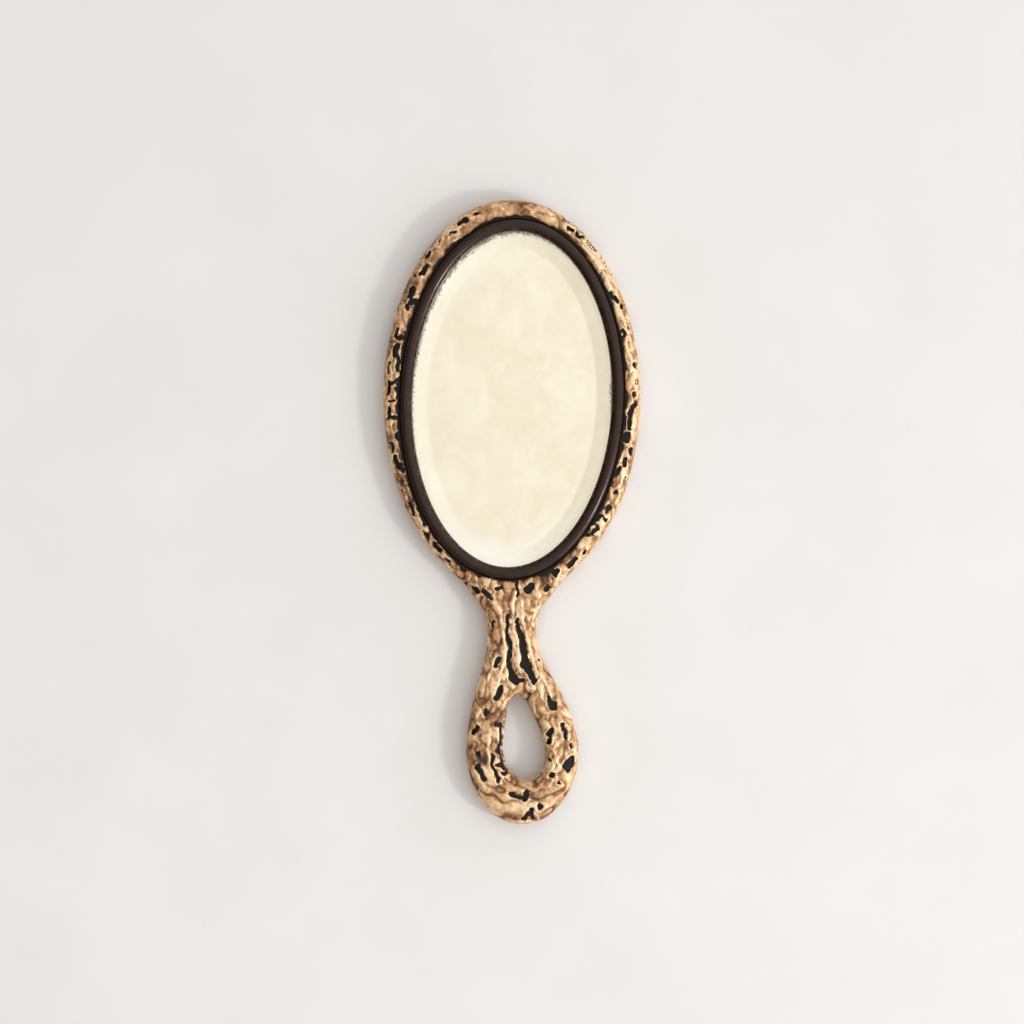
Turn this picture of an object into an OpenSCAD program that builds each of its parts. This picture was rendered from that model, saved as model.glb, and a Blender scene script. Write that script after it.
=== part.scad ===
// Oval hand mirror with a bevelled glass, a half-round bezel and a gilt skin over a dark wood core.
// Frame: the back rests on z = 0, +Z points out of the glass, +Y towards the head, millimetres.

/* [Body] */
// Length over the head and the hanging loop
overall_l = 254; // [250:1:262]
// Thickness of the body, skin included
body_t = 12; // [11.5:0.1:14]
// Radius of the rounding all round the body
edge_r = 4.8; // [4.4:0.1:5]
// Thickness of the gilt skin
skin_t = 1.4; // [1:0.1:1.6]

/* [Head] */
// Width of the head
head_w = 104.8; // [104:0.2:112]
// Length of the head's oval
head_l = 160.6; // [159:0.2:168]

/* [Handle] */
// Width of the neck at its narrowest
neck_w = 20.3; // [18:0.1:24]
// Height of the narrowest point above the handle's end
neck_rise = 76; // [74:0.5:78]
// Width of the loop
loop_w = 46; // [45:0.2:52]
// Height of the loop's widest line above the handle's end
loop_rise = 30; // [28:0.5:32]
// Distance that the loop leans to the right of the neck
loop_shift = 4.2; // [0:0.1:6]

/* [Loop hole] */
// Width of the hole at its widest
hole_w = 16.4; // [14:0.2:17]
// Length of the hole
hole_l = 33.8; // [30:0.2:34]
// Height of the hole's lower end above the handle's end
hole_rise = 18.4; // [17:0.2:20]
// Lean of the hole, in degrees
hole_lean = 8; // [0:0.5:9]

/* [Glass] */
// Width of the glass that shows inside the bezel
sight_w = 80.8; // [78:0.2:82]
// Length of the glass that shows inside the bezel
sight_l = 136; // [132:0.2:138]
// Distance from the head's centre down to the glass's centre
sight_drop = 1; // [0:0.1:2]
// Lean of the glass and its bezel to the right, in degrees
sight_tilt = 2.1; // [0:0.1:2.5]
// Thickness of the plate
glass_t = 4; // [3:0.1:4.2]
// Thickness that the bevel leaves at the plate's edge
glass_edge_t = 2.2; // [1.8:0.1:2.4]
// Width of the bevel that shows inside the bezel
bevel_w = 6.4; // [4:0.1:9]
// Width of the plate that the bezel covers
glass_lap = 2; // [1.6:0.1:2.2]

/* [Bezel] */
// Width of the half-round bezel
bezel_w = 5.2; // [4.6:0.1:5.4]
// Height of the bezel's crest above the body's face
bezel_proud = 0.8; // [0.3:0.1:1.5]
// Width of bare core between the bezel and the skin
ledge_w = 0.6; // [0.3:0.1:1]

/* [Packing behind the glass] */
// Height of the recess floor above the back
floor_z = 3; // [2.6:0.1:3]
// Thickness of the felt pad
felt_t = 1.2; // [0.8:0.1:1.2]
// Thickness of the backing card
card_t = 1; // [0.6:0.1:1]
// Thickness of the paint over the silver
paint_t = 0.1; // [0.05:0.01:0.15]
// Thickness of the silver coat
silver_t = 0.05; // [0.03:0.01:0.08]
// Number of packing slips round the plate
slip_count = 8; // [6:2:10]
// Length of a packing slip
slip_l = 5; // [4:0.5:6]

/* [Hidden] */

EDGE_N = 4;              // facets over each quarter round of the body's edge
SMOOTH_N = 3;            // facets between two points of an outline
RIM_N = 96;              // facets round the glass and its bezel
BEAD_N = 10;             // facets over the bezel's half round
FAR = 200;               // longer than anything it cuts
GAP = 0.1;               // clearance between parts that are slipped together
PLATE_GAP = 0.8;         // room for the packing slips round the plate
SLIP_T = 0.4;            // thickness of a packing slip
OVERSHOOT = 1;           // how far a cutter runs past the face that it opens

head_y = overall_l / 2 - head_l / 2;
base_y = -overall_l / 2;

// Heights of the stack from the recess floor up to the glass
card_z = floor_z + felt_t;
paint_z = card_z + card_t;
silver_z = paint_z + paint_t;
glass_z = silver_z + silver_t;
shoulder_z = glass_z + glass_edge_t + GAP;
bezel_r = bezel_w / 2;
bezel_axis_z = body_t + bezel_proud - bezel_r;

// ---- The glass's ellipse and what runs round it ----

// Point of the sight ellipse at angle t, moved outward along its normal by d
function rim_point(t, d) =
    let (half = [sight_w, sight_l] / 2, n = [cos(t) / half.x, sin(t) / half.y])
    [half.x * cos(t), half.y * sin(t)] + d * n / norm(n);

function rim(d) = [for (i = [0 : RIM_N - 1]) rim_point(i * 360 / RIM_N, d)];

// Places what lies inside the head in line with the leaning glass
module at_sight() translate([0, head_y - sight_drop]) rotate(-sight_tilt) children();

// A flat sheet, out to a distance from the edge of the glass that shows
module sheet(reach, z, t) at_sight() translate([0, 0, z]) linear_extrude(t) polygon(rim(reach));

// Sweeps a profile of [distance outward, height] round the whole rim
module rim_sweep(profile) {
    m = len(profile);
    polyhedron(
        points = [for (i = [0 : RIM_N - 1], p = profile) concat(rim_point(i * 360 / RIM_N, p.x), p.y)],
        faces = [for (i = [0 : RIM_N - 1], j = [0 : m - 1])
            let (here = i * m, next = (i + 1) % RIM_N * m, k = (j + 1) % m)
            each [[here + j, here + k, next + j], [here + k, next + k, next + j]]]
    );
}

// ---- Body shape shared by the core and the skin ----

// From the neck (0) to the loop's widest line (1): [share of the way, share of the widening]
LOOP_FLARE = [[0.15, 0.09], [0.31, 0.32], [0.46, 0.55], [0.63, 0.77], [0.85, 0.955]];
// The same from the neck to the point where the shoulders run into the head's oval
SHOULDER_FLARE = [[0.3, 0.03], [0.53, 0.27], [0.775, 0.61]];
// Angle on the head's oval where the shoulders start, below the widest line
SHOULDER_ANGLE = 61;
// Right half of the hole, from its upper end down: [share of the half width, share of the length]
HOLE_SIDE = [[0, 0], [0.4, 0.07], [0.6, 0.21], [0.8, 0.37], [0.96, 0.54], [1, 0.68], [0.87, 0.84],
             [0.5, 0.96]];

function ellipse_arc(centre, half, from, to, n) =
    [for (i = [0 : n]) let (t = from + (to - from) * i / n) centre + [half.x * cos(t), half.y * sin(t)]];

// Points that leave p for q: y by the first share of each pair, x by the second
function flare(p, q, shares) = [for (f = shares) [p.x + (q.x - p.x) * f.y, p.y + (q.y - p.y) * f.x]];

function reversed(list) = [for (i = [len(list) - 1 : -1 : 0]) list[i]];

// Closed smooth curve through the points
function smooth(c) = [for (i = [0 : len(c) - 1], k = [0 : SMOOTH_N - 1])
    let (n = len(c), t = k / SMOOTH_N,
         a = c[(i + n - 1) % n], b = c[i], d = c[(i + 1) % n], e = c[(i + 2) % n])
    b + (t * (d - a) + t * t * (2 * a - 5 * b + 4 * d - e) + t * t * t * (3 * b - a - 3 * d + e)) / 2];

// The curve moved by a distance to the left of its run, which is inward on an anticlockwise outline
function moved(c, by) = [for (i = [0 : len(c) - 1])
    let (n = len(c), run = c[(i + 1) % n] - c[(i + n - 1) % n]) c[i] + by * [-run.y, run.x] / norm(run)];

function body_outline() =
    let (head = ellipse_arc([0, head_y], [head_w, head_l] / 2, -SHOULDER_ANGLE, 180 + SHOULDER_ANGLE, 26),
         loop = ellipse_arc([loop_shift, base_y + loop_rise], [loop_w / 2, loop_rise], 180, 360, 12),
         neck = [neck_w / 2, base_y + neck_rise], neck_left = [-neck.x, neck.y])
    smooth(concat(
        head,
        reversed(flare(neck_left, head[26], SHOULDER_FLARE)),
        [neck_left],
        flare(neck_left, loop[0], LOOP_FLARE),
        loop,
        reversed(flare(neck, loop[12], LOOP_FLARE)),
        [neck],
        flare(neck, head[0], SHOULDER_FLARE)
    ));

function hole_outline() =
    let (side = [for (p = HOLE_SIDE) [p.x * hole_w / 2, (0.5 - p.y) * hole_l]],
         left = [for (i = [1 : len(side) - 1]) [-side[i].x, side[i].y]],
         turn = [[cos(hole_lean), -sin(hole_lean)], [sin(hole_lean), cos(hole_lean)]])
    smooth([for (p = concat([side[0]], left, [[0, -hole_l / 2]], reversed([for (p = left) [-p.x, p.y]])))
        turn * p + [loop_shift, base_y + hole_rise + hole_l / 2]]);

// Closed solid through a stack of outlines with equally many points; each of the levels is [move, height]
module stack(outline, levels) {
    n = len(outline);
    last = (len(levels) - 1) * n;
    polyhedron(
        points = [for (v = levels, p = moved(outline, v.x)) concat(p, v.y)],
        faces = concat(
            [[for (i = [0 : n - 1]) i]],
            [for (j = [0 : n : last - n], i = [0 : n - 1]) let (k = (i + 1) % n)
                each [[j + i, j + n + i, j + k], [j + k, j + n + i, j + n + k]]],
            [[for (i = [n - 1 : -1 : 0]) last + i]]
        )
    );
}

// Levels of the lower rounded edge, r being its radius about a centre that an inset doesn't move
function low_levels(r) = [for (i = [0 : EDGE_N]) let (t = i * 90 / EDGE_N)
    [edge_r - r * sin(t), edge_r - r * cos(t)]];

function high_levels(r) = reversed([for (v = low_levels(r)) [v.x, body_t - v.y]]);

// The body between the given levels, with the loop's hole through it
module slab(levels) {
    first = levels[0];
    last = levels[len(levels) - 1];
    difference() {
        stack(body_outline(), levels);
        stack(hole_outline(), concat([[-first.x, first.y - OVERSHOOT]], [for (v = levels) [-v.x, v.y]],
            [[-last.x, last.y + OVERSHOOT]]));
    }
}

// ---- Sub-parts ----

// The core stops short of the body's two faces by the skin's thickness
module body_core() color("#1d1a19") resize([0, 0, body_t - 2 * skin_t]) difference() {
    slab(concat(low_levels(edge_r - skin_t), high_levels(edge_r - skin_t)));
    sheet(glass_lap + PLATE_GAP, floor_z, body_t);
    sheet(bezel_w + GAP, shoulder_z, body_t);
}

// Each half of the skin is a thin shell that is as high as half the body
module gilt_front() color("#c89b6e") resize([0, 0, body_t / 2]) difference() {
    slab(concat([[0, body_t / 2]], high_levels(edge_r)));
    slab(concat([[skin_t, body_t / 2 - OVERSHOOT]], high_levels(edge_r - skin_t)));
    sheet(bezel_w + ledge_w, body_t / 2, body_t);
}

module gilt_back() color("#c89b6e") resize([0, 0, body_t / 2]) difference() {
    slab(concat(low_levels(edge_r), [[0, body_t / 2]]));
    slab(concat(low_levels(edge_r - skin_t), [[skin_t, body_t / 2 + OVERSHOOT]]));
}

// A half-round bead on a foot, with a lip that hooks over the plate's edge
function bezel_profile() =
    let (lip_z = shoulder_z + (glass_t - glass_edge_t) * glass_lap / (glass_lap + bevel_w),
         foot_x = glass_lap + PLATE_GAP)
    concat(
        [[0, lip_z], [foot_x, lip_z], [foot_x, shoulder_z], [bezel_w, shoulder_z]],
        [for (i = [0 : BEAD_N]) let (t = i * 180 / BEAD_N)
            [bezel_r + bezel_r * cos(t), bezel_axis_z + bezel_r * sin(t)]]
    );

module bezel() color("#34241f") at_sight() rim_sweep(bezel_profile());

module mirror_glass() color("#eff4f2") hull() {
    sheet(glass_lap, glass_z, glass_edge_t);
    sheet(-bevel_w, glass_z, glass_t);
}

module silver_coat() color("#d9d4c4") sheet(glass_lap, silver_z, silver_t);

module backing_paint() color("#5b3a2c") sheet(glass_lap, paint_z, paint_t);

module backing_card() color("#a68f6d") sheet(glass_lap + PLATE_GAP - GAP, card_z, card_t);

module felt_pad() color("#3c4a3c") sheet(glass_lap + PLATE_GAP - GAP, floor_z, felt_t);

// Small slips of card that stand between the plate's edge and the recess wall
module packing_slips() color("#b59f7c") at_sight()
    for (i = [0 : slip_count - 1]) {
        t = (i + 0.5) * 360 / slip_count;
        ahead = rim_point(t + 1, glass_lap) - rim_point(t - 1, glass_lap);
        translate(concat(rim_point(t, glass_lap + PLATE_GAP / 2), paint_z)) rotate(atan2(ahead.y, ahead.x))
            translate([-slip_l / 2, -SLIP_T / 2]) cube([slip_l, SLIP_T, glass_edge_t]);
    }

body_core();
gilt_front();
gilt_back();
bezel();
mirror_glass();
silver_coat();
backing_paint();
backing_card();
felt_pad();
packing_slips();
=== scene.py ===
"""Looks of the hand mirror on its CAD frame, in metres: a gilt bark skin, a dark bezel, aged silvering."""
import math

import bpy
import numpy as np
import openvdb
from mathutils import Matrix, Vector

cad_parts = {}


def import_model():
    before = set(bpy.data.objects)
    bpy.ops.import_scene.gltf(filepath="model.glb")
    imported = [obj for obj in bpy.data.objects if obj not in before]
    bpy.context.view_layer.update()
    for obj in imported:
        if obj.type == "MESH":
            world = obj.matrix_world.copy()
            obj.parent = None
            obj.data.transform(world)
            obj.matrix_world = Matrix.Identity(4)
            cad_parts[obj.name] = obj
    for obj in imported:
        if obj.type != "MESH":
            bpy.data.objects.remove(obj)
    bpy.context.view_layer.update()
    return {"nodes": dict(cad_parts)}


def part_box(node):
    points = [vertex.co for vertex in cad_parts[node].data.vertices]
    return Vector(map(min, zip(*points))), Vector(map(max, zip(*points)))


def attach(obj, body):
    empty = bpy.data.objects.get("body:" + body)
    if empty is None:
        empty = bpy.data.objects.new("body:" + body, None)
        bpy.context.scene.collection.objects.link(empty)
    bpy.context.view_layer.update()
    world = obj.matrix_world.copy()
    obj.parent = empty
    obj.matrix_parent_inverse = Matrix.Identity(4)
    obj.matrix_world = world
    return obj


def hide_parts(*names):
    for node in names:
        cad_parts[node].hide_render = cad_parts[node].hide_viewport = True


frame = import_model()
nodes = frame["nodes"]
scene = bpy.context.scene
scene.view_settings.view_transform = "Standard"

MM = 0.001
FRONT_VOXEL = 0.42      # mm, of the fields that the gilt skins are meshed from
BACK_VOXEL = 0.55
FRONT_MERGE = 0.04      # how far the mesher may merge faces where the field is even
BACK_MERGE = 0.25
LAP = 0.12              # mm that the skins reach into the core, so that no seam shows
TONGUE = 0.5            # mm that the back skin reaches up behind the front one
TO_WINDOW = (0.84, 0.10, 0.47)      # direction of the room's bright side
CAMERA_HEIGHT = 0.983   # m above the middle of the body
LENS = 85               # mm, on a sensor 36 mm wide
SENSOR = 36
WARP = 1.3              # mm that the folds are pulled about
FINE_WARP = 0.75        # mm that the pockets' edges are pulled about
VEIN_HALF = 0.55        # mm, half the width of a raised vein
DEEP = 2.2              # mm that a pocket goes down, past the skin
LIP = 0.3               # mm that the gold rises round a pocket
HEAD_TURN = 66          # mm along the head's rim per radian
HEAD_REACH = 58         # mm that stand for the way from the head's centre to its rim
LOOP_TURN = 19          # mm along the loop per radian
RIM_N = 256             # profiles round the bezel, the plate and the felt
BEZEL_FOOT_IN = 2.9     # mm from the sight edge out to the bezel's foot, past the plate


# ---------------------------------------------------------------- objects, vertex data, colour ramps

def add_object(name, data):
    obj = bpy.data.objects.new(name, data)
    scene.collection.objects.link(obj)
    return obj


def store(mesh, key, values):
    """Keep one number per vertex, which the mesh's material reads."""
    attribute = mesh.attributes.new(key, "FLOAT", "POINT")
    attribute.data.foreach_set("value", values.reshape(-1).astype(np.float32))


def lifted(flat, height):
    """A list of points in space, from places in the plane and a height for each."""
    return np.concatenate([flat, height[..., None]], 2).reshape(-1, 3)


def fill_ramp(node, stops):
    elements = node.color_ramp.elements
    while len(elements) < len(stops):
        elements.new(0.5)
    for element, (at, colour) in zip(elements, stops):
        element.position = at
        element.color = (*colour, 1)


# ---------------------------------------------------------------- sizes read off the CAD nodes

def points_mm(name):
    co = np.empty(len(nodes[name].data.vertices) * 3, np.float32)
    nodes[name].data.vertices.foreach_get("co", co)
    return co.reshape(-1, 3).astype(float) / MM


def loops_at(name, height):
    """Closed outlines of a node's flat faces at that height in mm, the widest first."""
    points = np.round(points_mm(name), 3)
    unique, index = np.unique(points, axis=0, return_inverse=True)
    index = index.reshape(-1)
    sides = {}
    for face in nodes[name].data.polygons:
        ring = [int(index[v]) for v in face.vertices]
        if all(abs(unique[v][2] - height) < 0.01 for v in ring):
            for a, b in zip(ring, ring[1:] + ring[:1]):
                if a != b:
                    sides[(a, b)] = True
    follow = {a: b for a, b in sides if (b, a) not in sides}
    loops = []
    while follow:
        start = next(iter(follow))
        loop = [start]
        while loop[-1] in follow:
            loop.append(follow.pop(loop[-1]))
        loops.append(unique[loop[:-1]][:, :2])
    return sorted(loops, key=lambda loop: -np.ptp(loop[:, 1]))


front_low, front_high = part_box("gilt_front")
back_low, back_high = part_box("gilt_back")
TOP = front_high.z / MM
MID = front_low.z / MM
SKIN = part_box("body_core")[0].z / MM
outlines = loops_at("gilt_front", MID)
BODY, HOLE = outlines[0], outlines[-1]
top_land = loops_at("gilt_front", TOP)[0]
EDGE_R = (np.ptp(BODY[:, 0]) - np.ptp(top_land[:, 0])) / 2
HEAD_HALF = np.ptp(BODY[:, 0]) / 2
HEAD_TOP = BODY[:, 1].max()
WIDEST_Y = BODY[np.argmax(BODY[:, 0]), 1]

bezel_points = points_mm("bezel")
RIM_CENTRE = (bezel_points[:, :2].max(0) + bezel_points[:, :2].min(0)) / 2
spread = bezel_points[:, :2] - RIM_CENTRE
axes = np.linalg.eigh(spread.T @ spread)[1]
LONG = axes[:, 1] * np.sign(axes[1, 1])
CROSS = np.array([LONG[1], -LONG[0]])
reach = np.stack([spread @ CROSS, spread @ LONG], 1)
OUTER_HALF = reach.max(0)
beside = np.abs(reach[:, 1]) < 1.5
SIGHT_HALF = OUTER_HALF - (OUTER_HALF[0] - np.abs(reach[beside, 0]).min())
BEZEL_W = OUTER_HALF[0] - SIGHT_HALF[0]
BEZEL_TOP = bezel_points[:, 2].max()
BEZEL_FOOT = bezel_points[:, 2].min()


# ---------------------------------------------------------------- fields in the plane, all in mm

def smoothstep(low, high, value):
    t = np.clip((value - low) / (high - low), 0, 1)
    return t * t * (3 - 2 * t)


def segments(points, starts, ends, widths=None):
    """Distance from each point to the nearest of the segments, less the half width there."""
    best = np.full(len(points), 1e9)
    for k, (a, b) in enumerate(zip(starts, ends)):
        run = b - a
        t = np.clip(((points - a) @ run) / max(run @ run, 1e-9), 0, 1)
        gap = points - a - t[:, None] * run
        distance = np.sqrt(gap[:, 0] ** 2 + gap[:, 1] ** 2)
        if widths is not None:
            distance = distance - (widths[k][0] + t * (widths[k][1] - widths[k][0]))
        np.minimum(best, distance, out=best)
    return best


def inside(points, loop):
    x, y = points[:, 0], points[:, 1]
    result = np.zeros(len(points), bool)
    for (ax, ay), (bx, by) in zip(loop, np.roll(loop, -1, 0)):
        if ay != by:
            result ^= ((ay > y) != (by > y)) & (x < ax + (y - ay) * (bx - ax) / (by - ay))
    return result


def to_edge(points):
    """Distance in from the nearer of the body's outline and the hole's, negative outside."""
    body = segments(points, BODY, np.roll(BODY, -1, 0))
    hole = segments(points, HOLE, np.roll(HOLE, -1, 0))
    body[~inside(points, BODY)] *= -1
    hole[inside(points, HOLE)] *= -1
    return np.minimum(body, hole)


def to_bezel(points):
    """Distance out from the bezel's outer edge, negative inside it."""
    turn = np.linspace(0, 2 * math.pi, 361)
    local = np.stack([(points - RIM_CENTRE) @ CROSS, (points - RIM_CENTRE) @ LONG], 1)
    line = np.stack([np.cos(turn), np.sin(turn)], 1) * OUTER_HALF
    distance = segments(local, line[:-1], line[1:])
    within = ((local / OUTER_HALF) ** 2).sum(1) < 1
    return np.where(within, -distance, distance)


GRID_STEP = 0.5
grid_low = BODY.min(0) - 4
grid_count = (np.ceil((BODY.max(0) + 4 - grid_low) / GRID_STEP) + 1).astype(int)
grid_lines = [grid_low[k] + GRID_STEP * np.arange(grid_count[k]) for k in (0, 1)]
grid_points = np.stack(np.meshgrid(*grid_lines, indexing="ij"), 2).reshape(-1, 2)
EDGE_GRID = to_edge(grid_points).reshape(grid_count)
BEZEL_GRID = to_bezel(grid_points).reshape(grid_count)


def look_up(grid, points):
    """Value of a plane grid at the points, linear between its nodes."""
    place = np.clip((points[:, :2] - grid_low) / GRID_STEP, 0, grid_count - 1.001)
    i = place.astype(int)
    u, v = (place - i).T
    return ((1 - u) * (1 - v) * grid[i[:, 0], i[:, 1]] + u * (1 - v) * grid[i[:, 0] + 1, i[:, 1]]
            + (1 - u) * v * grid[i[:, 0], i[:, 1] + 1] + u * v * grid[i[:, 0] + 1, i[:, 1] + 1])


# ---------------------------------------------------------------- noise that runs with the body

TABLE = 4096
CORNERS = [(i, j, k) for i in (0, 1) for j in (0, 1) for k in (0, 1)]


def gradients(seed):
    table = np.random.default_rng(seed).normal(size=(TABLE, 3))
    return table / np.linalg.norm(table, axis=1)[:, None]


def noise(points, seed):
    """Smooth noise, roughly between -1 and 1, with a period of one unit."""
    table = gradients(seed)
    cell = np.floor(points).astype(np.int64)
    part = points - cell
    fade = part ** 3 * (part * (part * 6 - 15) + 10)
    total = np.zeros(len(points))
    for corner in CORNERS:
        at = cell + corner
        index = (at[:, 0] * 73856093 ^ at[:, 1] * 19349663 ^ at[:, 2] * 83492791) % TABLE
        slope = ((part - corner) * table[index]).sum(1)
        weight = np.ones(len(points))
        for k in range(3):
            weight *= fade[:, k] if corner[k] else 1 - fade[:, k]
        total += weight * slope
    return total * 1.7


HEAD_CENTRE = np.array([0.0, WIDEST_Y])
HEAD_HALVES = np.array([HEAD_HALF, HEAD_TOP - WIDEST_Y])
LOOP_CENTRE = (HOLE.max(0) + HOLE.min(0)) / 2
HOLE_HALF = np.ptp(HOLE, 0) / 2


def zones(points):
    """Three sets of coordinates, [along, across, height] in mm, and the share that each has at a point."""
    x, y, z = points.T
    hx = (x - HEAD_CENTRE[0]) / HEAD_HALVES[0]
    hy = (y - HEAD_CENTRE[1]) / HEAD_HALVES[1]
    head = np.stack([np.arctan2(hx, hy) * HEAD_TURN, np.hypot(hx, hy) * HEAD_REACH, z], 1)
    lx, ly = x - LOOP_CENTRE[0], y - LOOP_CENTRE[1]
    loop = np.stack([np.arctan2(lx, -ly) * LOOP_TURN, np.hypot(lx, ly), z], 1)
    neck = np.stack([y, x, z], 1)
    of_head = smoothstep(-26, -12, y) * smoothstep(0.55, 0.85, np.hypot(hx, hy))
    of_loop = smoothstep(-74, -84, y)
    return [(head, of_head), (loop, of_loop), (neck, 1 - of_head - of_loop)]


def bark(points, along, across, seed, warp=None):
    """Noise with that wavelength in mm along the rim or the handle, and across it."""
    total = np.zeros(len(points))
    for k, (place, share) in enumerate(zones(points)):
        use = share > 0
        if use.any():
            q = place[use] + (0 if warp is None else warp[use])
            total[use] += share[use] * noise(q / [along, across, across] + 17.3 * k, seed)
    return total


# ---------------------------------------------------------------- the relief

# Pockets down to the black core on the front: x, y, length, width, lean from +X in degrees
POCKETS = [
    # the loop and the neck
    (-5.9, -61, 5.8, 2, 62), (-5.5, -73, 6.3, 2.3, 65), (-10.9, -81, 3.3, 2.2, 60),
    (-15.3, -88, 5, 2, 70), (-13.5, -97.6, 2.5, 1.2, 90), (-13.3, -103.8, 4.6, 2.4, 125),
    (-11.8, -107, 4.8, 1.7, 108), (-5.6, -86.4, 2.8, 1.2, 12), (-6, -97.4, 2.8, 1.4, -25),
    (-5, -102.2, 3, 1.5, -20), (-3.2, -105.8, 2.4, 1.4, -35), (-0.2, -113.6, 2.6, 2.4, -20),
    (2.5, -114.6, 4.6, 1.3, -12), (5.3, -114.6, 4.6, 2.8, 70), (11.6, -119.4, 3, 2.2, 35),
    (5.3, -122.9, 4.4, 1.7, 35), (8.6, -123.1, 3.8, 1.5, -50), (7.5, -121.2, 2.6, 1.8, 75),
    (15.2, -75.4, 3.6, 1.5, -70), (16.6, -78.4, 3.8, 2.6, -60), (15.6, -89, 4.5, 2.6, 75),
    (14.8, -92.7, 3, 1.6, 90), (20.9, -88.8, 7, 1.2, -75), (23.9, -94.7, 2.2, 1, -80),
    (22.9, -102.3, 7, 2.8, 62), (14.9, -100.3, 1.6, 1.4, 0), (15.8, -106.6, 2.4, 1.8, 60),
    (10.8, -59.6, 1.8, 0.7, -60),
    # the shoulders
    (-7.4, -45.3, 3.2, 1.3, 60), (-10.6, -39.7, 2, 1.3, -40), (-16.4, -30.8, 8, 2.2, -35),
    (-24.4, -23.5, 7, 2, -48), (-9.9, -33.7, 6, 1.7, -40), (-5.2, -30.8, 3, 1.4, 20),
    (2.1, -31.5, 6.5, 1.1, 88), (6.8, -30.8, 4.5, 2.8, 35), (13.9, -30.8, 3.8, 2.4, 40),
    (17.7, -24.4, 3.4, 2.4, 50),
    # the left rim, from the top
    (-14.4, 120.7, 3, 1.8, 25), (-19.7, 117.5, 5, 2, 32), (-23.8, 113, 3.5, 1.2, 38),
    (-33.9, 104, 3, 1.6, 50), (-35.6, 98.3, 6, 1.8, 58), (-39.8, 95.2, 2, 1.4, 60), (-40.6, 89, 6, 2, 68),
    (-40, 85.5, 4, 2.2, 20), (-42.2, 82.9, 3, 1.6, 75), (-46.3, 72.6, 4.5, 1.5, 78),
    (-44.8, 70.8, 2.6, 1.6, 10), (-46.9, 65.4, 6, 2.4, 82), (-46, 60, 7, 1.5, 85),
    (-49.8, 58.5, 5, 1.2, 86), (-50, 50.5, 6.5, 1.4, 88), (-47, 53, 4.5, 1.5, 30),
    (-46.6, 48, 5, 1.3, 100), (-48.6, 44.6, 3.4, 1.4, 5), (-49.6, 40, 5, 1.5, 92), (-47, 38, 3.6, 1.6, 5),
    (-46.2, 30.5, 4, 1.8, 96), (-49, 26, 5, 1.8, 97), (-46.1, 19.5, 8, 2.1, -62),
    (-46.9, 13.6, 5, 1.4, 104), (-43.7, 5.3, 8, 1.8, 110), (-40.2, 1.2, 6, 1.4, 112),
    (-36, -3.3, 6, 1.9, 120), (-35, -9.8, 6, 2.2, 122), (-30.3, -14.4, 5, 1.9, 128),
    (-26.6, -19.5, 4, 1.5, 132),
    # the right rim, from the top
    (23.4, 114.2, 3.5, 1.4, -38), (27.4, 112, 4, 1.4, -40), (32.7, 108, 7, 2.3, -45),
    (38, 100.8, 6, 1.5, -55), (40.6, 87.6, 4, 1.8, -65), (42, 85.2, 3, 1.8, -20),
    (44.9, 83.2, 2.6, 1.3, -70), (47.6, 76.2, 5, 1.9, -74), (44.8, 72.3, 3.5, 1.4, -78),
    (49.8, 59.3, 3, 1.8, -84), (50.6, 52.4, 2.5, 1.8, -87), (49.6, 47.5, 2.5, 1.4, 88),
    (49.8, 43.5, 2.5, 1.4, 88), (48.2, 41, 5, 2.2, 80), (47.6, 36.2, 7, 1.8, 84),
    (45.9, 30.3, 4.5, 3, 70), (48.2, 24.4, 3.5, 2.1, 80), (45.7, 20.5, 4, 1.8, 76),
    (42.6, 16.2, 4, 2.3, 72), (42.1, 8.1, 2.5, 1.4, 70), (38.6, 1.4, 4, 1.6, 64),
    (35.4, -2.2, 3.5, 1.9, 60), (33.7, -6.9, 4, 1.8, 58), (31.1, -9.2, 2.4, 1.4, 55),
    (29.1, -16.7, 2.6, 1.4, 50), (24, -20.4, 6, 1.8, 48),
]
# Black channels, two down the neck and two beside the loop's hole: x, y, width at each point
CHANNELS = [
    [(-2.3, -42, 1.2), (-1.9, -49, 1.5), (-0.9, -55, 1.7), (-1.2, -62, 2), (-0.2, -66, 2.4),
     (2, -68.4, 2.8), (4.6, -68, 2)],
    [(2.1, -43, 1), (2.6, -47.5, 1.6), (3.9, -51, 2.2), (4.7, -56, 3), (5.4, -61, 3.6),
     (6.9, -65, 2.8), (8.8, -68.5, 1.8)],
    [(-8.4, -98.6, 0.9), (-7.8, -102, 1.3), (-6.8, -105.5, 1.2), (-5.2, -108.8, 1.7)],
    [(-4.1, -86, 1), (-4.2, -88.5, 2.2), (-4.3, -92.5, 2.4), (-4.4, -96, 2.6), (-3.8, -99.5, 2.6),
     (-2.9, -102.4, 2.6), (-1.1, -105, 2.4), (2.2, -107.4, 1.4)],
]
# Raised veins, down the neck, on the right rim and round the loop: x, y at each point
VEINS = [
    [(2.4, -31), (0.2, -37), (0.4, -47), (2.2, -52), (2.6, -58), (1.6, -62), (4, -64.6),
     (6.4, -66.2), (8.8, -71)],
    [(-9, -35), (-4.7, -40), (-3.9, -49), (-2.6, -55), (-3, -60), (-5.3, -67), (-7.9, -74)],
    [(4, -36), (4, -43), (5.6, -49), (7, -54), (8.4, -60), (9.6, -64), (12.6, -67), (16, -75)],
    [(29, 107), (35, 100), (40, 91)], [(37, 104.5), (42, 96), (46, 86)], [(42, 84), (46, 75), (49, 66)],
    [(46, 68), (48.6, 60), (50.4, 52)], [(13, -86), (12.6, -93), (17, -97), (19, -103)],
    [(-9, -88), (-9.6, -96), (-8.4, -104), (-4, -110)],
]


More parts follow.
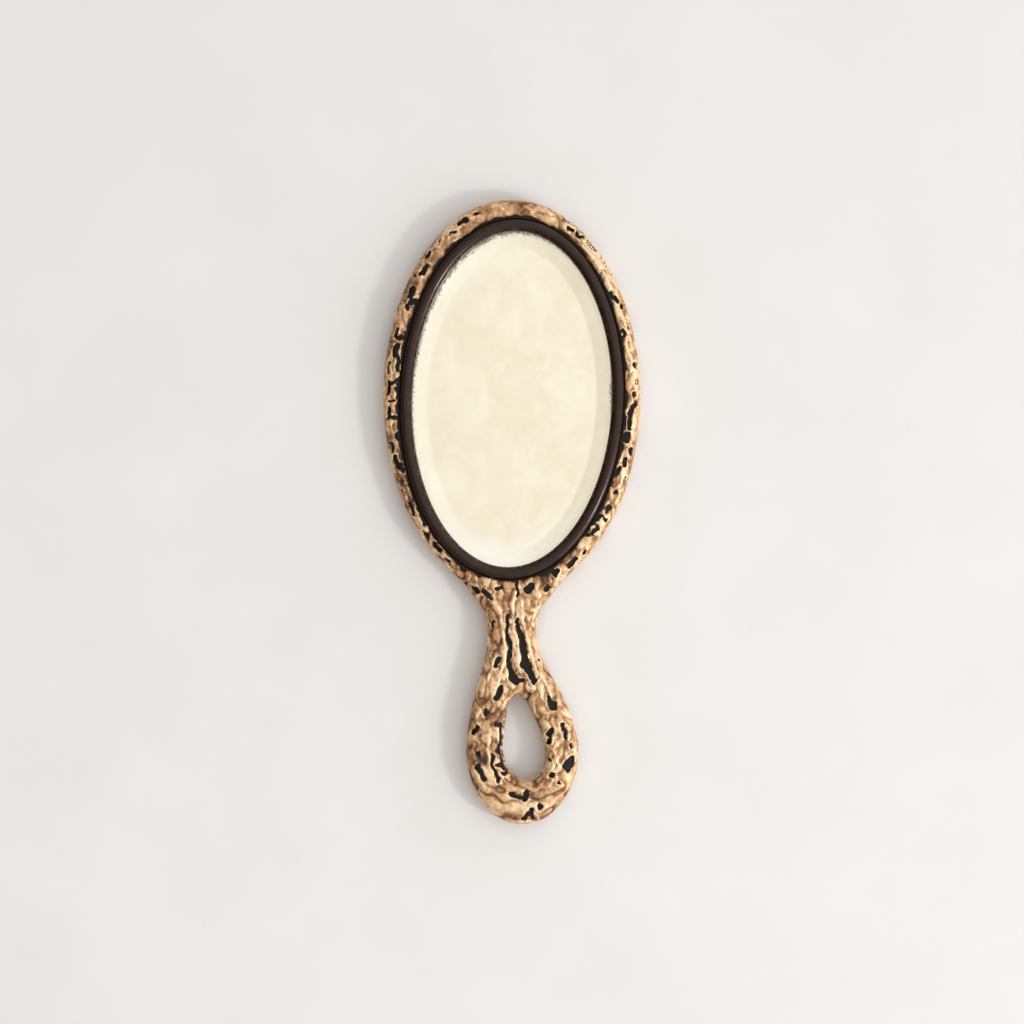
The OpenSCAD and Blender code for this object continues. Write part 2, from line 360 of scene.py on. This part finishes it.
def stroke_ends():
    """Start, end and half widths of each straight stretch of the pockets and channels."""
    starts, ends, widths = [], [], []
    for x, y, length, width, lean in POCKETS:
        turn = math.radians(lean)
        run = np.array([math.cos(turn), math.sin(turn)]) * (length - width) / 2
        starts.append(np.array([x, y]) - run)
        ends.append(np.array([x, y]) + run)
        widths.append((width / 2, width / 2))
    for line in CHANNELS:
        for a, b in zip(line, line[1:]):
            starts.append(np.array(a[:2]))
            ends.append(np.array(b[:2]))
            widths.append((a[2] / 2, b[2] / 2))
    return starts, ends, widths


def vein_ends():
    pairs = [pair for line in VEINS for pair in zip(line, line[1:])]
    return [np.array(a, float) for a, _ in pairs], [np.array(b, float) for _, b in pairs]


STROKE_GRID = segments(grid_points, *stroke_ends()).reshape(grid_count)
VEIN_GRID = segments(grid_points, *vein_ends()).reshape(grid_count)


def bark_folds(points, warp):
    """Height of the folds in mm against the smooth skin, with their lumps, crests and fine grain."""
    x, y, _ = points.T
    lumps = bark(points, 9, 6, 11, warp)
    folds = bark(points, 8, 3.4, 12, warp) + 0.45 * bark(points, 3.6, 1.9, 13, warp)
    swell = smoothstep(-0.08, 1, np.abs(folds) / 0.5)
    crest = np.exp(-(bark(points, 11, 5, 15, warp) / 0.09) ** 2) * smoothstep(-0.1, 0.35, lumps)
    grain = noise(points / 1.25, 14)
    # The rim is smoother at the top left
    calm = smoothstep(78, 100, y) * smoothstep(20, 0, x)
    height = -0.86 + 0.36 * lumps + (0.56 - 0.3 * calm) * swell + 0.24 * crest + 0.09 * grain + 0.16 * calm
    return height, lumps, crest, grain


def to_pocket(points, warp, front, ragged):
    """Distance in mm to the nearest placed or chance pocket, negative in it."""
    fine_warp = FINE_WARP * np.stack([noise(points / 2.4, s) for s in (4, 5)], 1)
    moved = points[:, :2] + 0.5 * warp[:, :2] + fine_warp
    # Placed pockets stay on the front, apart from those that run down the wall of the loop's hole
    hole_x, hole_y = (points[:, :2] - LOOP_CENTRE).T / HOLE_HALF[:, None]
    foot = np.where(np.hypot(hole_x, hole_y) < 1.35, MID - 1.5 + 2.5 * noise(points / 3.5, 23), MID + 1.5)
    placed = look_up(STROKE_GRID, moved) + 3 * (1 - smoothstep(foot, foot + 2, points[:, 2]))
    chance = bark(points, 6.5, 3.6, 21, warp) + 0.25 * noise(points / 1.6, 22)
    loose = (0.46 + 0.34 * front - chance) * 3.2
    return np.minimum(placed, loose) + 0.22 * ragged


def relief(points):
    """Depth in mm below the smooth skin at each point, and what the colours need.

    The window is above 0 where the front skin leaves room for the bezel.
    """
    front = smoothstep(MID + 1.5, MID + 3.5, points[:, 2])
    side = 1 - smoothstep(0.4, 2.4, look_up(EDGE_GRID, points))
    warp = WARP * np.stack([bark(points, 5, 5, s) for s in (1, 2, 3)], 1)
    height, lumps, crest, grain = bark_folds(points, warp)

    ragged_edge = noise(points / 1.1, 23)
    gap = to_pocket(points, warp, front, ragged_edge)
    from_vein = look_up(VEIN_GRID, points[:, :2] + 0.25 * warp[:, :2])
    vein = np.exp(-(from_vein / VEIN_HALF) ** 2) * front
    lip = np.exp(-((gap - 0.6) / 0.38) ** 2) * smoothstep(-0.5, 0.3, ragged_edge + lumps)
    height = height + LIP * lip + 0.55 * vein
    height = np.minimum(height, -0.02 - 0.05 * (grain + 1))
    open_ = smoothstep(-0.12, 0.22, -gap)

    # The gold thins out to a ragged edge beside the bezel
    beyond = look_up(BEZEL_GRID, points)
    ledge = np.clip(0.75 + bark(points, 7, 4, 31, warp) + 0.35 * noise(points / 1.4, 32), 0.05, 2.2)
    shelf = (1 - smoothstep(ledge, ledge + 1.3, beyond)) * front
    height = height - 0.3 * shelf
    depth = -height * (1 - open_) + DEEP * open_
    depth = depth - 0.25 * side * (1 - open_) * (depth > 0.3)
    # Crests, veins and pocket lips that the gilt paints pale: partly rubbed wear, partly painted highlight
    shine = np.clip(np.maximum(0.8 * crest, np.maximum(vein, 0.6 * lip)), 0, 1) * (1 - open_)
    return {"depth": depth, "height": height, "open": open_, "shine": shine,
            "window": np.where(front > 0, ledge - beyond, -9.0)}


# ---------------------------------------------------------------- the gilt skins

def body_field(from_edge, z):
    """Signed distance to the smooth rounded body, from the distance in from its outline and the height."""
    q = np.stack([EDGE_R - from_edge, np.abs(z - TOP / 2) - (TOP / 2 - EDGE_R)], -1)
    return (np.hypot(np.maximum(q[..., 0], 0), np.maximum(q[..., 1], 0))
            + np.minimum(np.maximum(q[..., 0], q[..., 1]), 0) - EDGE_R)


def skin_field(points, part):
    """Signed distance to one half of the skin, cut at the mid plane, the back with a tongue above it."""
    smooth = body_field(look_up(EDGE_GRID, points), points[:, 2])
    shape = relief(points)
    z = points[:, 2]
    inner = -(smooth + SKIN + LAP)
    if part == "front":
        field = np.maximum(smooth + shape["depth"], inner)
        return np.maximum(np.maximum(field, MID - z), shape["window"])
    outer = smooth + np.maximum(shape["depth"], 0.25 * smoothstep(MID - 0.3, MID + 0.05, z) + 0.02)
    return np.maximum(np.maximum(outer, inner), z - MID - TONGUE)


def skin_mesh(name, part):
    """One half of the skin, meshed from its field on a grid and held inside the CAD node's box."""
    voxel, merge = (FRONT_VOXEL, FRONT_MERGE) if part == "front" else (BACK_VOXEL, BACK_MERGE)
    low = np.array([*(BODY.min(0) - 2), MID - 2 if part == "front" else -2])
    high = np.array([*(BODY.max(0) + 2), TOP + 2 if part == "front" else MID + 2])
    count = (np.ceil((high - low) / voxel) + 1).astype(int)
    lines = [low[k] + voxel * np.arange(count[k]) for k in range(3)]
    flat = np.stack(np.meshgrid(lines[0], lines[1], indexing="ij"), 2).reshape(-1, 2)
    edge = look_up(EDGE_GRID, flat).reshape(count[0], count[1], 1)
    base = body_field(np.broadcast_to(edge, count), np.broadcast_to(lines[2], count))
    rough = np.maximum(base, -(base + SKIN + LAP))
    limit = 2 * voxel
    near = (rough < limit) & (base > -(SKIN + LAP + limit))
    where = np.argwhere(near)
    points = low + where * voxel
    field = np.clip(rough, -limit, limit).astype(np.float32)
    field[tuple(where.T)] = np.clip(skin_field(points, part), -limit, limit)
    grid = openvdb.FloatGrid(limit)
    grid.copyFromArray(field)
    made, triangles, quads = grid.convertToPolygons(isovalue=0.0, adaptivity=merge)
    made = made * voxel + low
    lowest, highest = (front_low, front_high) if part == "front" else (back_low, back_high)
    shape = relief(made)
    if part == "back":
        highest = Vector((highest.x, highest.y, highest.z + TONGUE * MM))
    made = np.clip(made, np.array(lowest) / MM, np.array(highest) / MM)
    mesh = bpy.data.meshes.new(name)
    mesh.from_pydata((made * MM).tolist(), [], quads.tolist() + triangles.tolist())
    for key in ("height", "open", "shine"):
        store(mesh, key, shape[key])
    mesh.update()
    mesh.shade_smooth()
    return add_object(name, mesh)


# ---------------------------------------------------------------- bezel, glass and felt

def rim_points(out):
    """Points of the sight ellipse moved out along its normal by each distance, in mm."""
    turn = np.linspace(0, 2 * math.pi, RIM_N, endpoint=False)
    circle = np.stack([np.cos(turn), np.sin(turn)], 1)
    local = circle * SIGHT_HALF
    normal = circle / SIGHT_HALF
    normal /= np.linalg.norm(normal, axis=1)[:, None]
    at = local[:, None, :] + normal[:, None, :] * np.asarray(out)[..., None]
    return RIM_CENTRE + at[..., :1] * CROSS + at[..., 1:] * LONG


def ring_mesh(name, flat, height, closed):
    """RIM_N profiles side by side, from their places and heights in mm; closed joins a profile's ends."""
    rings = height.shape[1]
    co = lifted(flat, height) * MM
    faces = []
    for i in range(RIM_N):
        j = (i + 1) % RIM_N
        for k in range(rings if closed else rings - 1):
            m = (k + 1) % rings
            faces.append((i * rings + k, j * rings + k, j * rings + m, i * rings + m))
    if not closed:
        faces.append([i * rings for i in range(RIM_N)][::-1])
        faces.append([i * rings + rings - 1 for i in range(RIM_N)])
    mesh = bpy.data.meshes.new(name)
    mesh.from_pydata(co.tolist(), [], faces)
    mesh.update()
    mesh.shade_smooth()
    return add_object(name, mesh)


def bezel_ring():
    """The half-round ring, with a quirk near its outer edge and chips along its inner one."""
    radius = BEZEL_W / 2
    axis_z = BEZEL_TOP - radius
    lip_z = BEZEL_FOOT + 0.45
    turn = np.radians(np.linspace(0, 180, 33))
    start = [[BEZEL_FOOT_IN, lip_z], [BEZEL_FOOT_IN, BEZEL_FOOT], [BEZEL_W, BEZEL_FOOT]]
    arc_out = radius + radius * np.cos(turn)
    arc_up = axis_z + radius * np.sin(turn)
    profile = np.array(start + list(zip(arc_out, arc_up)) + [[0, lip_z]])
    out = np.repeat(profile[None, :, 0], RIM_N, 0)
    height = np.repeat(profile[None, :, 1], RIM_N, 0)
    points = lifted(rim_points(out), height)
    rough = (0.5 * noise(points / 2.1, 41) + 0.5 * noise(points / 0.9, 42)).reshape(out.shape)
    wave = noise(points / 14, 43).reshape(out.shape)
    # The angle runs from 0 at the outer foot over the crest to 180 at the inner one
    angle = np.concatenate([np.zeros(3), np.degrees(turn), [180]])
    quirk = np.exp(-((angle - 30) / 7) ** 2) * (angle > 3)
    chip = smoothstep(0.25, 0.6, rough + 0.25 * wave) * (smoothstep(120, 150, angle) * (angle < 179))[None]
    sink = 0.16 * quirk[None] * (0.7 + 0.3 * wave) + 0.3 * chip + 0.03 * (rough + 1) * (angle > 3)[None]
    centre_out, centre_up = out - radius, height - axis_z
    length = np.maximum(np.hypot(centre_out, centre_up), 1e-6)
    on_arc = ((angle > 2) & (angle < 179))[None]
    out = out - np.where(on_arc, sink * centre_out / length, 0)
    height = height - np.where(on_arc, sink * centre_up / length, 0)
    obj = ring_mesh("bezel_bead", rim_points(out), height, True)
    store(obj.data, "chip", chip)
    store(obj.data, "across", np.broadcast_to(angle / 180, out.shape))
    return obj


def felt_sheet():
    """The felt under the card, with a soft uneven surface and a rounded cut edge."""
    low, high = (v.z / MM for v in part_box("felt_pad"))
    reach_out = (points_mm("felt_pad")[:, :2] - RIM_CENTRE) @ CROSS
    edge = reach_out.max() - SIGHT_HALF[0]
    # Shares of the way out from the middle, close together near the cut edge
    shares = [0.06, 0.2, 0.35, 0.5, 0.65, 0.8, 0.9, 0.96, 0.985, 0.996]
    profile = ([(share, low) for share in shares] + [(1, low + 0.3), (1, high - 0.3)]
               + [(share, high) for share in shares[::-1]])
    share = np.array([p[0] for p in profile])[None, :, None]
    flat = RIM_CENTRE + (rim_points(np.full((RIM_N, len(profile)), edge)) - RIM_CENTRE) * share
    height = np.repeat(np.array([p[1] for p in profile])[None], RIM_N, 0)
    uneven = 0.06 * (1 + noise(lifted(flat, height) / 2.5, 51)).reshape(height.shape)
    height = np.where(height > (low + high) / 2, height - uneven, height + 0.3 * uneven)
    return ring_mesh("felt_sheet", flat, np.clip(height, low, high), False)


def glass_plate():
    """The plate with its wide bevel, sharp where the bevel starts."""
    low, high = (v.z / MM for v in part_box("mirror_glass"))
    glass = points_mm("mirror_glass")
    top = glass[glass[:, 2] > high - 0.01][:, :2] - RIM_CENTRE
    bottom = glass[glass[:, 2] < low + 0.01][:, :2] - RIM_CENTRE
    bevel = SIGHT_HALF[0] - (top @ CROSS).max()
    lap = (bottom @ CROSS).max() - SIGHT_HALF[0]
    edge = np.unique(np.round(glass[:, 2], 2))[1]
    profile = np.array([[lap - 0.1, low], [lap, low + 0.1], [lap, edge - 0.1], [lap - 0.1, edge],
                        [-bevel + 0.12, high - 0.02], [-bevel - 0.12, high]])
    out = np.repeat(profile[None, :, 0], RIM_N, 0)
    height = np.repeat(profile[None, :, 1], RIM_N, 0)
    obj = ring_mesh("glass_plate", rim_points(out), height, False)
    obj.data.set_sharp_from_angle(angle=math.radians(4))
    return obj


# ---------------------------------------------------------------- materials

class Nodes:
    """A material's node tree, with short calls for what the materials here need."""

    def __init__(self, name):
        self.material = bpy.data.materials.new(name)
        self.material.use_nodes = True
        self.tree = self.material.node_tree
        self.shader = self.tree.nodes["Principled BSDF"]
        self.place = self.tree.nodes.new("ShaderNodeTexCoord").outputs["Object"]

    def link(self, value, socket):
        """Feed the socket from another one or with a constant; None leaves it alone."""
        if isinstance(value, bpy.types.NodeSocket):
            self.tree.links.new(value, socket)
        elif value is not None:
            socket.default_value = value

    def set(self, **values):
        for key, value in values.items():
            self.link(value, self.shader.inputs[key.replace("_", " ")])

    def noise(self, size, detail=4.0, rough=0.55, warp=0.0, stretch=(1, 1, 1)):
        """Noise with features of that size in mm, from 0 to 1."""
        mapping = self.tree.nodes.new("ShaderNodeMapping")
        mapping.inputs["Scale"].default_value = [s / (size * MM) for s in stretch]
        self.link(self.place, mapping.inputs["Vector"])
        node = self.tree.nodes.new("ShaderNodeTexNoise")
        self.link(mapping.outputs[0], node.inputs["Vector"])
        node.inputs["Scale"].default_value = 1
        node.inputs["Detail"].default_value = detail
        node.inputs["Roughness"].default_value = rough
        node.inputs["Distortion"].default_value = warp
        return node.outputs["Fac"]

    def attribute(self, name):
        node = self.tree.nodes.new("ShaderNodeAttribute")
        node.attribute_name = name
        return node.outputs["Fac"]

    def math(self, kind, a, b=None, clamp=False):
        node = self.tree.nodes.new("ShaderNodeMath")
        node.operation = kind
        node.use_clamp = clamp
        self.link(a, node.inputs[0])
        self.link(b, node.inputs[1])
        return node.outputs[0]

    def plus(self, a, b, clamp=False):
        return self.math("ADD", a, b, clamp)

    def minus(self, a, b):
        return self.math("SUBTRACT", a, b)

    def times(self, a, b, clamp=False):
        return self.math("MULTIPLY", a, b, clamp)

    def span(self, value, low, high, to_low=0.0, to_high=1.0):
        """The value's place between low and high, held there and scaled to the other two numbers."""
        node = self.tree.nodes.new("ShaderNodeMapRange")
        node.clamp = True
        for socket, number in zip(node.inputs[1:5], (low, high, to_low, to_high)):
            socket.default_value = number
        self.link(value, node.inputs[0])
        return node.outputs[0]

    def ramp(self, value, stops):
        node = self.tree.nodes.new("ShaderNodeValToRGB")
        fill_ramp(node, stops)
        self.link(value, node.inputs[0])
        return node.outputs[0]

    def mix(self, share, a, b):
        node = self.tree.nodes.new("ShaderNodeMix")
        node.data_type = "RGBA"
        for value, socket in ((share, node.inputs[0]), (a, node.inputs[6]), (b, node.inputs[7])):
            self.link((*value, 1) if isinstance(value, tuple) else value, socket)
        return node.outputs[2]

    def bump(self, height, depth, before=None):
        """A bump as deep as that in mm, on top of the one before."""
        node = self.tree.nodes.new("ShaderNodeBump")
        node.inputs["Distance"].default_value = depth * MM
        self.link(height, node.inputs["Height"])
        self.link(before, node.inputs["Normal"])
        return node.outputs[0]

    def split(self):
        node = self.tree.nodes.new("ShaderNodeSeparateXYZ")
        self.link(self.place, node.inputs[0])
        return node.outputs

    def put_on(self, *objects):
        for obj in objects:
            obj.data.materials.clear()
            obj.data.materials.append(self.material)


def gilt():
    """Gold that is brown in the hollows, rubbed pale and painted with highlights on the crests, painted
    paler on the lit right side and browner on the left, and black where a pocket opens.
    """
    n = Nodes("rubbed gilding")
    height, shine, open_ = n.attribute("height"), n.attribute("shine"), n.attribute("open")
    mottle = n.noise(3.2, 5, 0.6, 0.6)
    streak = n.noise(1.1, 4, 0.6, 0.4)
    level = n.span(height, -1.2, -0.15)
    level = n.plus(level, n.minus(mottle, 0.56))
    level = n.plus(level, n.times(n.minus(streak, 0.5), 0.5))
    # Paler towards +X and browner towards -X: painted light and shade, as if lit from the window side
    level = n.plus(level, n.span(n.split()[0], -0.05, 0.05, -0.13, 0.15), clamp=True)
    gold = n.ramp(level, [(0.0, (0.04, 0.015, 0.006)), (0.2, (0.15, 0.062, 0.024)),
                          (0.42, (0.37, 0.185, 0.078)), (0.68, (0.64, 0.375, 0.185)),
                          (1.0, (0.92, 0.65, 0.39))])
    # Pale gold on crests, veins and lips: partly rubbed wear, partly a painted highlight
    rubbed_and_highlit = n.times(shine, n.span(streak, 0.34, 0.62), clamp=True)
    gold = n.mix(n.times(rubbed_and_highlit, 0.75), gold, (0.95, 0.80, 0.58))
    dark = n.mix(n.span(open_, 0.2, 0.6), gold, (0.012, 0.008, 0.006))
    n.set(Base_Color=dark,
          Metallic=n.span(level, 0.1, 0.8, 0.1, 0.42),
          Roughness=n.plus(n.span(level, 0.1, 0.9, 0.56, 0.3), n.span(streak, 0.3, 0.7, -0.05, 0.08)),
          Normal=n.bump(n.noise(0.35, 3, 0.6), 0.05, n.bump(n.noise(0.9, 4, 0.6, 0.5), 0.16)))
    return n


def black_core():
    """Satin black with a grain along the handle."""
    n = Nodes("black wood core")
    grain = n.noise(0.8, 4, 0.6, 0.3, (1, 0.25, 1))
    patch = n.noise(3, 3)
    colour = n.ramp(n.plus(n.times(grain, 0.6), n.times(patch, 0.4)),
                    [(0.3, (0.004, 0.003, 0.0025)), (0.6, (0.010, 0.008, 0.006)),
                     (0.8, (0.04, 0.028, 0.02))])
    n.set(Base_Color=colour, IOR=1.33,
          Roughness=n.span(grain, 0.3, 0.7, 0.45, 0.65), Normal=n.bump(grain, 0.08))
    return n


def bezel_brown():
    """Polished dark brown, scuffed and painted with a pale highlight band towards the inner side, with
    pale chips.
    """
    n = Nodes("dark bezel")
    chip, across = n.attribute("chip"), n.attribute("across")
    wear = n.noise(1.6, 5, 0.65, 0.4)
    speck = n.noise(0.55, 3, 0.6)
    base = n.ramp(n.noise(6, 4, 0.6), [(0.3, (0.005, 0.002, 0.0015)), (0.7, (0.017, 0.007, 0.004))])
    # A pale band along the inner side: partly scuffed wear, partly a painted highlight
    inner = n.times(n.span(across, 0.62, 0.9), n.span(wear, 0.5, 0.68), clamp=True)
    scuffed_and_highlit = n.mix(n.times(inner, 0.55), base, (0.20, 0.15, 0.13))
    fleck = n.times(n.span(chip, 0.35, 0.8), n.span(speck, 0.5, 0.62), clamp=True)
    flecked = n.mix(fleck, scuffed_and_highlit, (0.42, 0.36, 0.31))
    n.set(Base_Color=flecked, IOR=1.38, Specular_Tint=(1.0, 0.62, 0.44, 1),
          Coat_Weight=0.35, Coat_Roughness=0.1,
          Roughness=n.plus(n.span(wear, 0.3, 0.75, 0.16, 0.32), n.times(chip, 0.25)),
          Normal=n.bump(wear, 0.05, n.bump(speck, 0.03)))
    return n


def clear_glass():
    """Clear glass with a few faintly dull patches."""
    n = Nodes("bevelled plate glass")
    n.set(Base_Color=(1.0, 1.0, 0.995, 1), Transmission_Weight=1.0, IOR=1.5,
          Roughness=n.span(n.noise(9, 4, 0.6), 0.45, 0.8, 0.0, 0.035),
          Normal=n.bump(n.noise(30, 2), 0.01))
    return n


def oval_place(n):
    """Place across and along the bezel's sight oval, each 1 at its edge."""
    x, y = n.split()[:2]
    across, along = (n.minus(a, float(c) * MM) for a, c in zip((x, y), RIM_CENTRE))
    lean = math.atan2(LONG[0], LONG[1])
    minor = n.minus(n.times(across, math.cos(lean)), n.times(along, math.sin(lean)))
    major = n.plus(n.times(across, math.sin(lean)), n.times(along, math.cos(lean)))
    return (n.math("DIVIDE", minor, float(SIGHT_HALF[0]) * MM),
            n.math("DIVIDE", major, float(SIGHT_HALF[1]) * MM))


def old_silver():
    """Warm clouded silvering with faint blotches, foxed along its edge."""
    n = Nodes("aged silvering")
    u, v = oval_place(n)
    out = n.math("SQRT", n.plus(n.times(u, u), n.times(v, v)))
    edge = n.minus(1.0, out)
    cloud = n.noise(16, 6, 0.62, 0.5)
    base = n.ramp(cloud, [(0.35, (0.89, 0.79, 0.60)), (0.65, (0.94, 0.87, 0.69))])

    # Blotches in the middle
    blotch = n.span(n.noise(2.2, 6, 0.75, 0.8), 0.52, 0.66)
    drawn = n.span(n.noise(5, 3, 0.5, 0.2, (1.0, 0.5, 1)), 0.5, 0.62)
    middle = n.span(out, 0.75, 0.3)
    blotched = n.times(n.times(n.math("MAXIMUM", blotch, drawn), middle), 0.22)
    base = n.mix(blotched, base, (0.85, 0.72, 0.50))

    # Paler under the bevel, on the left and at the foot: a painted reflection of the room's bright side
    bevel_reflection_band = n.span(edge, 0.17, 0.12)
    base = n.mix(n.times(bevel_reflection_band, n.span(u, 0.3, -0.6, 0.0, 0.3)), base, (0.95, 0.92, 0.84))
    base = n.mix(n.times(bevel_reflection_band, n.span(v, -0.72, -0.98, 0.0, 0.5)), base, (0.95, 0.95, 0.94))

    # Stains and foxing, which reaches in furthest at the upper left and on the right
    stain = n.times(n.span(edge, 0.06, 0.0), n.span(cloud, 0.45, 0.7), clamp=True)
    base = n.mix(n.times(stain, 0.5), base, (0.80, 0.66, 0.42))
    upper_left = n.minus(n.times(v, 0.75), n.times(u, 0.65))
    right = n.times(n.span(u, 0.85, 0.97), n.span(n.math("ABSOLUTE", n.minus(v, 0.06)), 0.2, 0.05))
    reach_in = n.plus(n.span(upper_left, 0.0, 0.95, 0.006, 0.06), n.times(right, 0.05))
    hairs = n.span(n.noise(1.3, 6, 0.8, 1.2), 0.36, 0.72)
    foxed = n.span(n.minus(n.times(hairs, reach_in), edge), -0.002, 0.016)
    spots = n.times(n.span(n.noise(0.8, 2, 0.5), 0.70, 0.78), n.span(edge, 0.22, 0.02), clamp=True)
    base = n.mix(n.times(n.math("MAXIMUM", foxed, spots), 0.85), base, (0.10, 0.06, 0.03))

    n.set(Base_Color=base, Metallic=1.0,
          Roughness=n.span(n.noise(3.0, 6, 0.7, 0.8), 0.4, 0.8, 0.03, 0.16),
          Normal=n.bump(n.noise(24, 3), 0.02))
    return n


def plain(name, colours, size, rough, depth):
    """A matt material that wavers between two colours, with marks of that size and depth in mm."""
    n = Nodes(name)
    pattern = n.noise(size, 5, 0.6, 0.3)
    n.set(Base_Color=n.ramp(pattern, [(0.3, colours[0]), (0.7, colours[1])]),
          Roughness=n.span(pattern, 0.3, 0.7, rough - 0.08, rough + 0.08), Normal=n.bump(pattern, depth))
    return n


# ---------------------------------------------------------------- pieces

def place(obj, node, slot):
    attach(obj, "root")
    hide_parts(node)


front_skin = skin_mesh("gilt_front_skin", "front")
back_skin = skin_mesh("gilt_back_skin", "back")
bead = bezel_ring()
plate = glass_plate()
felt = felt_sheet()
place(front_skin, "gilt_front", "gilt_skin")
place(back_skin, "gilt_back", "gilt_skin")
place(bead, "bezel", "bezel_brown")
place(plate, "mirror_glass", "plate_glass")
place(felt, "felt_pad", "felt")

gilt().put_on(front_skin, back_skin)
bezel_brown().put_on(bead)
clear_glass().put_on(plate)
black_core().put_on(nodes["body_core"])
old_silver().put_on(nodes["silver_coat"])
plain("red lead paint", ((0.21, 0.08, 0.05), (0.29, 0.12, 0.07)), 1.5, 0.75, 0.03).put_on(
    nodes["backing_paint"])
plain("strawboard", ((0.34, 0.25, 0.15), (0.44, 0.34, 0.22)), 1.2, 0.85, 0.05).put_on(
    nodes["backing_card"], nodes["packing_slips"])
plain("wool felt", ((0.045, 0.065, 0.045), (0.075, 0.10, 0.07)), 0.6, 0.92, 0.15).put_on(felt)


# ---------------------------------------------------------------- floor, light, camera

def floor():
    """A plain pale floor, wide enough that no low view shows its end close by."""
    bpy.ops.mesh.primitive_plane_add(size=40, location=(0, 0, 0))
    obj = bpy.context.object
    obj.name = "floor"
    n = Nodes("pale cloth")
    weave = n.noise(1.2, 3, 0.5)
    n.set(Base_Color=n.ramp(n.noise(60, 4), [(0.3, (0.80, 0.795, 0.785)), (0.7, (0.83, 0.825, 0.82))]),
          Roughness=n.span(weave, 0.3, 0.7, 0.85, 0.95), Normal=n.bump(weave, 0.04))
    n.put_on(obj)


def world():
    """A room that is bright towards the window and dim away from it, and plain pale in view."""
    w = bpy.data.worlds.new("room")
    scene.world = w
    w.use_nodes = True
    tree = w.node_tree
    direction = tree.nodes.new("ShaderNodeTexCoord").outputs["Generated"]
    dot = tree.nodes.new("ShaderNodeVectorMath")
    dot.operation = "DOT_PRODUCT"
    dot.inputs[1].default_value = TO_WINDOW
    tree.links.new(direction, dot.inputs[0])
    ramp = tree.nodes.new("ShaderNodeValToRGB")
    fill_ramp(ramp, [(0.0, (0.12, 0.095, 0.07)), (0.3, (0.32, 0.27, 0.22)), (0.5, (0.55, 0.51, 0.46)),
                     (0.735, (0.97, 0.97, 0.97)), (0.9, (1.08, 1.08, 1.08))])
    half = tree.nodes.new("ShaderNodeMapRange")
    half.inputs[1].default_value = -1
    tree.links.new(dot.outputs["Value"], half.inputs[0])
    tree.links.new(half.outputs[0], ramp.inputs[0])
    seen = tree.nodes.new("ShaderNodeMix")
    seen.data_type = "RGBA"
    seen.inputs[7].default_value = (0.80, 0.79, 0.77, 1)
    tree.links.new(tree.nodes.new("ShaderNodeLightPath").outputs["Is Camera Ray"], seen.inputs[0])
    tree.links.new(ramp.outputs[0], seen.inputs[6])
    background = tree.nodes["Background"]
    tree.links.new(seen.outputs[2], background.inputs["Color"])
    background.inputs["Strength"].default_value = 1.07


def area(name, at, size, power, colour):
    """A square lamp that faces the middle of the part."""
    light = bpy.data.lights.new(name, "AREA")
    light.size = size
    light.energy = power
    light.color = colour
    obj = add_object(name, light)
    obj.location = at
    obj.rotation_euler = (-Vector(at)).to_track_quat("-Z", "Y").to_euler()


floor()
world()
area("window", (1.15, -0.6, 0.85), 0.8, 3.5, (1.0, 0.99, 0.97))
area("pane", (1.15, -0.5, 1.0), 0.17, 5, (1.0, 1.0, 1.0))

camera_data = bpy.data.cameras.new("camera")
camera_data.lens = LENS
camera_data.sensor_width = SENSOR
camera = add_object("camera", camera_data)
camera.location = (0, 0, TOP * MM / 2 + CAMERA_HEIGHT)
scene.camera = camera
